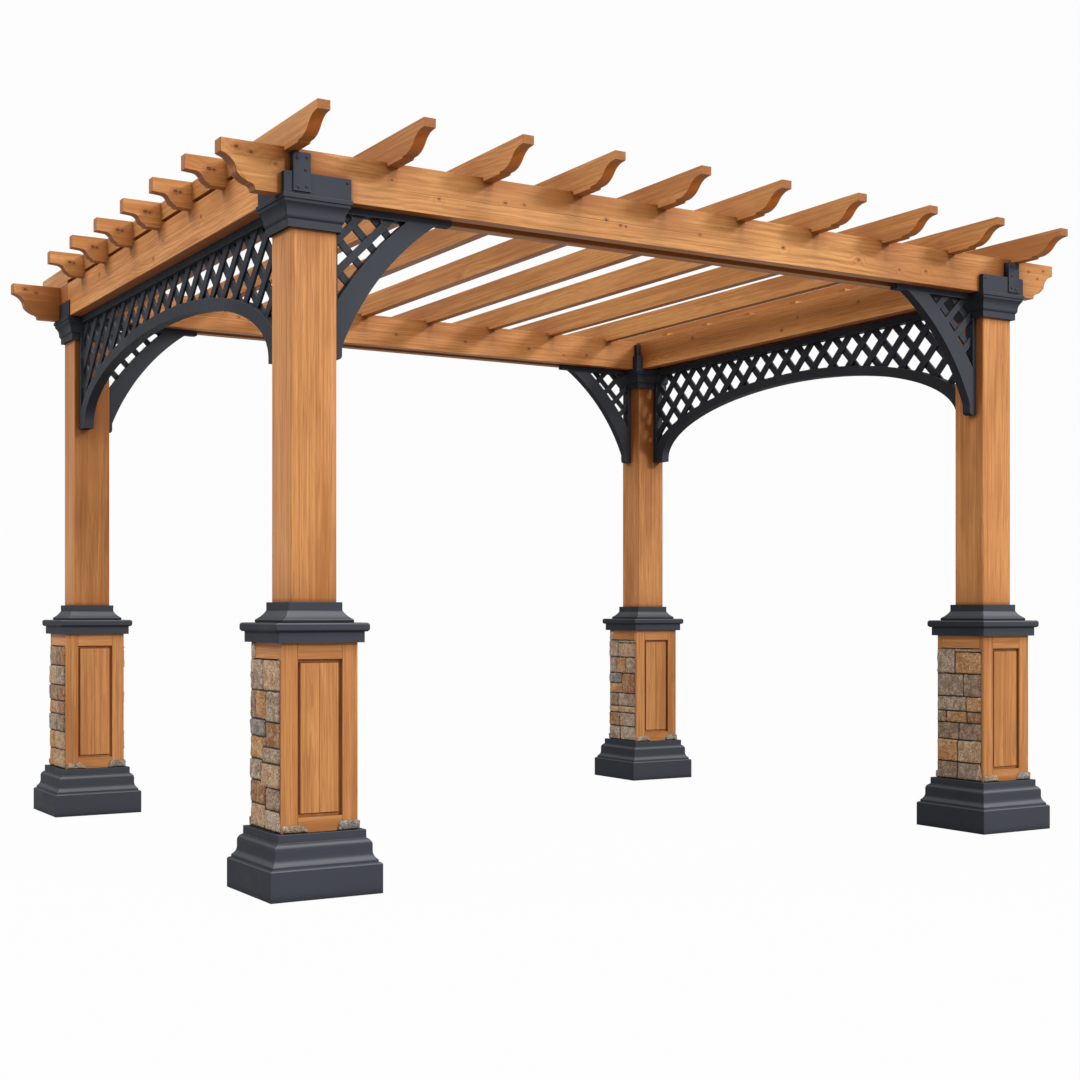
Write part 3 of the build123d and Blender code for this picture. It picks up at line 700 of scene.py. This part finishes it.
# Each stone by its left and right, top and bottom, as shares of the faced side, and its tone
stone_courses = {
    "front_left": (
        (0.0, 0.44, 0.0, 0.185, "grey"),
        (0.44, 1.0, 0.0, 0.185, "tan"),
        (0.0, 0.21, 0.185, 0.355, "umber"),
        (0.21, 0.56, 0.185, 0.355, "rust"),
        (0.56, 1.0, 0.185, 0.365, "grey"),
        (0.0, 0.53, 0.355, 0.457, "slate"),
        (0.53, 1.0, 0.365, 0.515, "brown"),
        (0.44, 0.53, 0.457, 0.515, "tan"),
        (0.0, 0.44, 0.457, 0.592, "rust"),
        (0.44, 1.0, 0.515, 0.607, "grey"),
        (0.0, 0.4, 0.592, 0.72, "grey"),
        (0.4, 1.0, 0.607, 0.75, "tan"),
        (0.0, 0.53, 0.72, 0.858, "brown"),
        (0.53, 1.0, 0.75, 0.88, "umber"),
        (0.0, 0.5, 0.858, 1.0, "tan"),
        (0.5, 1.0, 0.88, 1.0, "pale"),
    ),
    "front_right": (
        (0.0, 0.42, 0.0, 0.19, "grey"),
        (0.42, 1.0, 0.025, 0.19, "rust"),
        (0.42, 1.0, 0.0, 0.025, "grey"),
        (0.0, 0.6, 0.19, 0.366, "grey"),
        (0.6, 1.0, 0.19, 0.366, "umber"),
        (0.0, 0.67, 0.366, 0.478, "grey"),
        (0.67, 1.0, 0.366, 0.478, "rust"),
        (0.0, 0.22, 0.478, 0.566, "umber"),
        (0.22, 0.68, 0.478, 0.566, "rust"),
        (0.68, 1.0, 0.478, 0.566, "brown"),
        (0.0, 0.5, 0.566, 0.697, "umber"),
        (0.5, 1.0, 0.566, 0.697, "umber"),
        (0.0, 0.48, 0.697, 0.866, "rust"),
        (0.48, 1.0, 0.697, 0.866, "tan"),
        (0.0, 0.47, 0.866, 1.0, "umber"),
        (0.47, 1.0, 0.866, 1.0, "grey"),
    ),
    "back_left": (
        (0.0, 0.45, 0.0, 0.16, "grey"),
        (0.45, 1.0, 0.0, 0.16, "brown"),
        (0.0, 0.5, 0.16, 0.32, "tan"),
        (0.5, 1.0, 0.16, 0.32, "grey"),
        (0.0, 0.56, 0.32, 0.45, "umber"),
        (0.56, 1.0, 0.32, 0.45, "brown"),
        (0.0, 0.4, 0.45, 0.56, "rust"),
        (0.4, 0.6, 0.45, 0.56, "grey"),
        (0.6, 1.0, 0.45, 0.56, "brown"),
        (0.0, 0.5, 0.56, 0.7, "grey"),
        (0.5, 1.0, 0.56, 0.7, "umber"),
        (0.0, 0.34, 0.7, 0.85, "rust"),
        (0.34, 1.0, 0.7, 0.85, "tan"),
        (0.0, 0.4, 0.85, 1.0, "rust"),
        (0.4, 1.0, 0.85, 1.0, "tan"),
    ),
    "back_right": (
        (0.0, 0.36, 0.0, 0.17, "grey"),
        (0.36, 1.0, 0.028, 0.17, "tan"),
        (0.36, 1.0, 0.0, 0.028, "grey"),
        (0.0, 0.3, 0.17, 0.33, "grey"),
        (0.3, 0.64, 0.17, 0.33, "rust"),
        (0.64, 1.0, 0.17, 0.33, "grey"),
        (0.0, 0.5, 0.33, 0.43, "slate"),
        (0.5, 1.0, 0.33, 0.53, "brown"),
        (0.0, 0.5, 0.43, 0.53, "rust"),
        (0.0, 0.34, 0.53, 0.66, "umber"),
        (0.34, 1.0, 0.53, 0.66, "grey"),
        (0.0, 1.0, 0.66, 0.725, "tan"),
        (0.0, 0.43, 0.725, 0.86, "brown"),
        (0.43, 1.0, 0.725, 0.86, "grey"),
        (0.0, 0.43, 0.86, 1.0, "grey"),
        (0.43, 1.0, 0.86, 1.0, "pale"),
    ),
}
far_courses = {
    "front_left": "back_right",
    "front_right": "back_left",
    "back_left": "front_right",
    "back_right": "front_left",
}
stone_joint = 0.0044
stone_proud = 0.0068
proud_sway = 0.0022
stone_depth = 0.02
stone_setback = 0.002
front_margin = 0.012
bed_gap = 0.001
rail_gap = 0.002
mortar_inset = 0.001
mortar_proud = 0.0006
mortar_arris = 0.0003
stone_round = 0.0075
round_share = 0.36
turn_share = 0.45
rung_pitch = 0.009
lump_scale = 30.0
lump_height = 0.0027
chip_scale = 85.0
chip_height = 0.0012
foot_overhang = 0.008
foot_lean = 0.012
thin_stone_depth = 0.012
head_stone_width = 0.038
head_stone_proud = 0.0035

# Each return at the foot of a panelled face: its way along, start, end, proud, top, tone and lean
foot_returns = (
    (-1, 0.002, 0.094, 0.0065, 0.028, "grey", 0.024),
    (1, -0.007, 0.078, 0.0075, 0.032, "slate", 0.014),
)


def rungs(low, high, rounding):
    """Steps from one end of a stone to the other, gathered at the rounded edges."""
    inner = high - low - 2 * rounding
    count = max(1, round(inner / rung_pitch))
    flat = [low + rounding + inner * number / count for number in range(count + 1)]
    return [low, low + turn_share * rounding, *flat, high - turn_share * rounding, high]


def add_stone(mesh, place, low, high, slot, seed, lean=0.0):
    """One tumbled stone with rounded edges, a lumpy face and uneven sides.

    The lean cuts its upper far end back.
    """
    size = [far - near for near, far in zip(low, high)]
    rounding = min(stone_round, round_share * min(size))
    steps = [rungs(near, far, rounding) for near, far in zip(low, high)]
    last = [len(entry) - 1 for entry in steps]
    shift = Vector((seed * 1.37, seed * 2.11, seed * 0.73))
    made = {}

    def corner_at(key):
        if key not in made:
            raw = Vector([steps[axis][key[axis]] for axis in range(3)])
            core = Vector(
                [
                    min(max(raw[axis], low[axis] + rounding), high[axis] - rounding)
                    for axis in range(3)
                ]
            )
            out = (raw - core).normalized()
            broad = noise.noise(raw * lump_scale + shift) * lump_height
            fine = noise.noise(raw * chip_scale + shift) * chip_height
            spot = core + out * (rounding + broad + fine)
            share = (spot.x - low[0]) / size[0] * (spot.z - low[2]) / size[2]
            spot.x -= lean * share
            made[key] = mesh.verts.new(place(*spot))
        return made[key]

    faces = []
    for axis in range(3):
        first, second = (axis + 1) % 3, (axis + 2) % 3
        for end in (0, last[axis]):
            for u in range(last[first]):
                for v in range(last[second]):
                    ring = []
                    for step_u, step_v in ((0, 0), (1, 0), (1, 1), (0, 1)):
                        key = [0, 0, 0]
                        key[axis] = end
                        key[first] = u + step_u
                        key[second] = v + step_v
                        ring.append(corner_at(tuple(key)))
                    face = mesh.faces.new(ring)
                    face.material_index = slot
                    faces.append(face)
    bmesh.ops.recalc_face_normals(mesh, faces=faces)


for number, (corner, (side_x, side_y)) in enumerate(corners.items()):
    low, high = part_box(f"{corner}_pedestal")
    centre = (low + high) / 2
    centre.z = 0.0
    half = (high.x - low.x) / 2
    floor, head = low.z, high.z
    field_low = floor + bed_gap
    field_high = head - top_rail - rail_gap
    left = bed_gap - half
    right = half - front_margin
    mesh = bmesh.new()
    seed = 10.0 * number
    for facing in (-1, 1):
        place = to_frame(centre, Vector((0, -1, 0)), Vector((facing, 0, 0)))
        courses = stone_courses[corner if facing < 0 else far_courses[corner]]
        add_block(
            mesh,
            place,
            (left + mortar_inset, half - stone_depth, field_low),
            (right - mortar_inset, half + mortar_proud, field_high - mortar_inset),
            mortar_slot,
            mortar_arris,
        )
        for start, end, top, bottom, tone in courses:
            seed += 1.0
            proud = stone_proud + proud_sway * math.sin(5.3 * seed)
            is_foot = bottom == 1.0 and end == 1.0
            overhang = foot_overhang if is_foot else 0.0
            add_stone(
                mesh,
                place,
                (
                    left + start * (right - left) + stone_joint / 2,
                    half - stone_depth + stone_setback,
                    field_high - bottom * (field_high - field_low) + stone_joint / 2,
                ),
                (
                    left + end * (right - left) - stone_joint / 2 + overhang,
                    half + proud,
                    field_high - top * (field_high - field_low) - stone_joint / 2,
                ),
                stone_slots[tone],
                seed,
                foot_lean if is_foot else 0.0,
            )
        if side_x == side_y and facing < 0:
            seed += 1.0
            add_stone(
                mesh,
                place,
                (left, half - thin_stone_depth, head - top_rail + rail_gap),
                (left + head_stone_width, half + head_stone_proud, head - bed_gap),
                stone_slots["pale"],
                seed,
            )
    for facing in (-1, 1):
        for way, start, end, proud, top, tone, lean in foot_returns:
            place = to_frame(centre, Vector((way * facing, 0, 0)), Vector((0, facing, 0)))
            seed += 1.0
            add_stone(
                mesh,
                place,
                (start - half, half - thin_stone_depth, floor + bed_gap),
                (end - half, half + proud, floor + top),
                stone_slots[tone],
                seed,
                lean,
            )
    piece = finished(mesh, f"{corner}_stone_facing", stone_finishes, True)
    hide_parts(f"{corner}_stone_veneer")


# Beams: two planed boards each, nailed to a packing strip. The front and back ones run on
# past the posts into scroll-cut tails and show a few tight knots and one long drying check;
# the side ones butt between them.

beam_arris = 0.0028
front_knots = (
    (-1.866, 2.437, 0.0055),
    (-1.815, 2.425, 0.0042),
    (-1.729, 2.398, 0.0026),
    (-1.309, 2.403, 0.0023),
    (-1.129, 2.362, 0.0033),
    (-0.865, 2.382, 0.0036),
    (-0.787, 2.385, 0.0029),
    (-0.437, 2.375, 0.0042),
    (-0.373, 2.363, 0.0039),
    (-0.35, 2.361, 0.0029),
    (-0.01, 2.37, 0.0036),
    (0.397, 2.369, 0.0039),
    (0.789, 2.364, 0.0042),
    (1.012, 2.348, 0.0029),
    (1.161, 2.358, 0.0033),
    (1.77, 2.42, 0.0039),
    (1.825, 2.395, 0.0033),
    (1.862, 2.432, 0.0036),
)
side_knots = (
    (-0.598, 2.394, 0.0042),
    (-0.16, 2.389, 0.0029),
    (-0.038, 2.342, 0.0049),
    (0.71, 2.41, 0.005),
)
long_check = (-1.3, 0.1, 2.371)
# Front beam: lighter stain as painted light; darker scroll cuts and tail shadows as painted shade
front_timber = timber(
    "front_beam_timber",
    "X",
    front_knots,
    long_check,
    stain_and_light_shares=(1.2, 1.36, 1.42),
    scroll_stain_and_shade_share=0.7,
    painted_shade_share=1.2,
)
# Back beam: a slightly lighter copy of the stain, painted light
back_timber = timber(
    "back_beam_timber",
    "X",
    front_knots,
    long_check,
    stain_and_light_shares=(1.06, 1.08, 1.08),
)
# Side beams: a lighter copy of the stain, painted light
side_timber = timber("side_beam_timber", "Y", side_knots, stain_and_light_shares=(1.1, 1.12, 1.08))
for label, finish, board in (
    ("front_beam", front_timber, 0.14),
    ("back_beam", back_timber, 0.61),
    ("left_beam", side_timber, 0.33),
    ("right_beam", side_timber, 0.87),
):
    dress(nodes[label], finish, board)
    ease(nodes[label], beam_arris)


# Rafters: ten planed boards on edge, notched over the front and back beams, each with a
# scroll-cut tail at both ends. The grain runs with their length.

rafter_count = 10
rafter_arris = 0.0022
# A darker copy of the stain, painted shade, with lighter scroll cuts, painted light
rafter_timber = timber(
    "rafter_timber",
    "Y",
    stain_and_light_shares=(0.88, 0.91, 0.84),
    scroll_stain_and_shade_share=1.6,
    painted_shade_share=0.5,
)
for number in range(1, rafter_count + 1):
    rafter = nodes[f"rafter_{number:02d}"]
    dress(rafter, rafter_timber, 0.213 * number)
    ease(rafter, rafter_arris)


# Side tails: short scroll-cut ends of the same timber, fixed over the side beams against the
# end rafters, with the mark of a plugged fixing near the middle of each.

tail_arris = 0.0022
plug_marks = (
    (-1.765, 2.503, 0.0062),
    (-1.747, 2.5005, 0.0042),
    (1.765, 2.503, 0.0062),
    (1.747, 2.5005, 0.0042),
)
# A lighter copy of the stain, painted light, with darker scroll cuts, painted shade
tail_timber = timber(
    "side_tail_timber",
    "X",
    plug_marks,
    stain_and_light_shares=(1.08, 1.14, 1.12),
    scroll_stain_and_shade_share=0.8,
    painted_shade_share=0.3,
)
for number, label in enumerate(("left_side_tails", "right_side_tails")):
    dress(nodes[label], tail_timber, 0.41 + 0.3 * number)
    ease(nodes[label], tail_arris)


# Side arches: a welded frame of flat bar with a curved lower rib and a two-layer lattice
# inside, finished in the same dark grey coat and fixed under each side beam.

arch_arris = 0.0018
for label in ("left_arch", "right_arch"):
    dress(nodes[label], dark_metal)
    ease(nodes[label], arch_arris)


# Corner braces: a pair of rails, a broad curved rib and a small lattice, welded and coated,
# one in each corner under the front beam and the back beam.

brace_arris = 0.0018
for corner in corners:
    brace = nodes[f"{corner}_brace"]
    dress(brace, dark_metal)
    ease(brace, brace_arris)


# Beam brackets: folded steel trays, straps, side plates and corner angles with the same dark
# coat, held to the beams by pan-head screws, five on each strap and one on each tray.

bracket_arris = 0.0012
screw_radius = 0.0055
screw_height = 0.0032
screw_sides = 14
strap_middle = 0.059
tray_step = 0.006
tray_place = (-0.106, 0.058)
strap_places = ((-0.017, 0.122), (0.017, 0.116), (-0.012, 0.08), (-0.015, 0.026), (0.013, 0.022))


def add_pan_head(mesh, place, along, out, up):
    """A pan-head screw with a shallow socket, turned about the way it faces."""
    profile = (
        (1.0, -0.3),
        (1.0, 0.45),
        (0.86, 0.8),
        (0.6, 1.0),
        (0.36, 1.0),
        (0.3, 0.45),
    )
    loops = []
    for radius, level in profile:
        ring = []
        for number in range(screw_sides):
            turn = 2 * math.pi * number / screw_sides
            spot = place(
                along + screw_radius * radius * math.cos(turn),
                out + screw_height * level,
                up + screw_radius * radius * math.sin(turn),
            )
            ring.append(mesh.verts.new(spot))
        loops.append(ring)
    faces = [mesh.faces.new(loops[0]), mesh.faces.new(loops[-1])]
    for under, over in zip(loops, loops[1:]):
        for number in range(screw_sides):
            after = (number + 1) % screw_sides
            faces.append(mesh.faces.new((under[number], under[after], over[after], over[number])))
    bmesh.ops.recalc_face_normals(mesh, faces=faces)


screw_metal = coated_metal("dark_screw_metal")
for corner, (side_x, side_y) in corners.items():
    bracket = nodes[f"{corner}_beam_bracket"]
    dress(bracket, dark_metal)
    ease(bracket, bracket_arris)
    low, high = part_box(f"{corner}_beam_bracket")
    post_low, post_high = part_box(f"{corner}_post")
    middle = (post_low + post_high) / 2
    middle.z = low.z
    strap_face = abs((low.y if side_y < 0 else high.y) - middle.y)
    place = to_frame(middle, Vector((side_x, 0, 0)), Vector((0, side_y, 0)))
    mesh = bmesh.new()
    for aside, up in strap_places:
        add_pan_head(mesh, place, strap_middle + aside, strap_face, up)
    add_pan_head(mesh, place, tray_place[0], strap_face - tray_step, tray_place[1])
    piece = finished(mesh, f"{corner}_bracket_screws", (screw_metal,), True)


# Stage: a plain pale floor that fades into a white surround. A soft key lamp stands high at the
# front right, a fill at the back left, a small lamp by the left side and a broad one over the
# front, and the level camera stands where the photograph was taken from.

floor_reach = 60.0
floor_level = -0.001
paper_share = 0.975
room_strength = 0.35
white_strength = 0.981
floor_mesh = bpy.data.meshes.new("studio_floor")
floor_mesh.from_pydata(
    [
        (-floor_reach, -floor_reach, floor_level),
        (floor_reach, -floor_reach, floor_level),
        (floor_reach, floor_reach, floor_level),
        (-floor_reach, floor_reach, floor_level),
    ],
    [],
    [(0, 1, 2, 3)],
)
studio_floor = bpy.data.objects.new("studio_floor", floor_mesh)
bpy.context.scene.collection.objects.link(studio_floor)


def seen_directly(tree):
    """One where a ray comes from the camera, a mirror-like surface or glass, and zero elsewhere."""
    rays = tree.nodes.new("ShaderNodeLightPath")
    seen = value_of(tree, "MAXIMUM", rays.outputs["Is Camera Ray"], rays.outputs["Is Glossy Ray"])
    return value_of(tree, "MAXIMUM", seen, rays.outputs["Is Transmission Ray"])


pale_floor, tree, surface = new_finish("pale_floor")
surface.inputs["Base Color"].default_value = (0.42, 0.42, 0.42, 1.0)
surface.inputs["Roughness"].default_value = 0.9
surface.inputs["Specular IOR Level"].default_value = 0.0
paper = tree.nodes.new("ShaderNodeEmission")
paper.inputs["Color"].default_value = (1.0, 1.0, 1.0, 1.0)
paper.inputs["Strength"].default_value = 1.0
blend = tree.nodes.new("ShaderNodeMixShader")
link(tree, value_of(tree, "MULTIPLY", seen_directly(tree), paper_share), blend.inputs[0])
link(tree, surface.outputs[0], blend.inputs[1])
link(tree, paper.outputs[0], blend.inputs[2])
link(tree, blend.outputs[0], tree.nodes["Material Output"].inputs["Surface"])
floor_mesh.materials.append(pale_floor)

surround = bpy.data.worlds.new("studio_surround")
bpy.context.scene.world = surround
surround.use_nodes = True
tree = surround.node_tree
glow = tree.nodes["Background"]
glow.inputs["Color"].default_value = (1.0, 1.0, 1.0, 1.0)
glow_strength = faded(tree, seen_directly(tree), 0.0, 1.0, room_strength, white_strength)
link(tree, glow_strength, glow.inputs["Strength"])


def lamp(name, place, aim, size, power):
    """A square soft lamp pointed at a spot."""
    light = bpy.data.lights.new(name, "AREA")
    light.shape = "SQUARE"
    light.size = size
    light.energy = power
    holder = bpy.data.objects.new(name, light)
    holder.location = place
    holder.rotation_mode = "QUATERNION"
    holder.rotation_quaternion = (Vector(aim) - Vector(place)).to_track_quat("-Z", "Y")
    bpy.context.scene.collection.objects.link(holder)


lamp("key_lamp", (14.5, -26.0, 13.0), (0.0, 0.0, 1.3), 4.5, 5100.0)
lamp("fill_lamp", (-15.0, 5.0, 12.5), (0.0, 0.0, 1.2), 6.0, 1750.0)
lamp("side_lamp", (-6.5, -4.0, 6.0), (-1.0, 0.0, 1.6), 2.2, 70.0)
lamp("top_lamp", (0.5, -7.0, 9.0), (0.0, 0.0, 0.8), 5.0, 400.0)

camera_data = bpy.data.cameras.new("photo_camera")
camera_data.sensor_width = 36.0
camera_data.lens = 54.816
camera_data.shift_y = 0.06777
camera_data.clip_end = 200.0
camera = bpy.data.objects.new("photo_camera", camera_data)
camera.location = (-3.7663, -6.4428, 0.93)
camera.rotation_euler = (math.pi / 2, 0.0, -0.5428)
bpy.context.scene.collection.objects.link(camera)
bpy.context.scene.camera = camera
bpy.context.scene.view_settings.view_transform = "Standard"
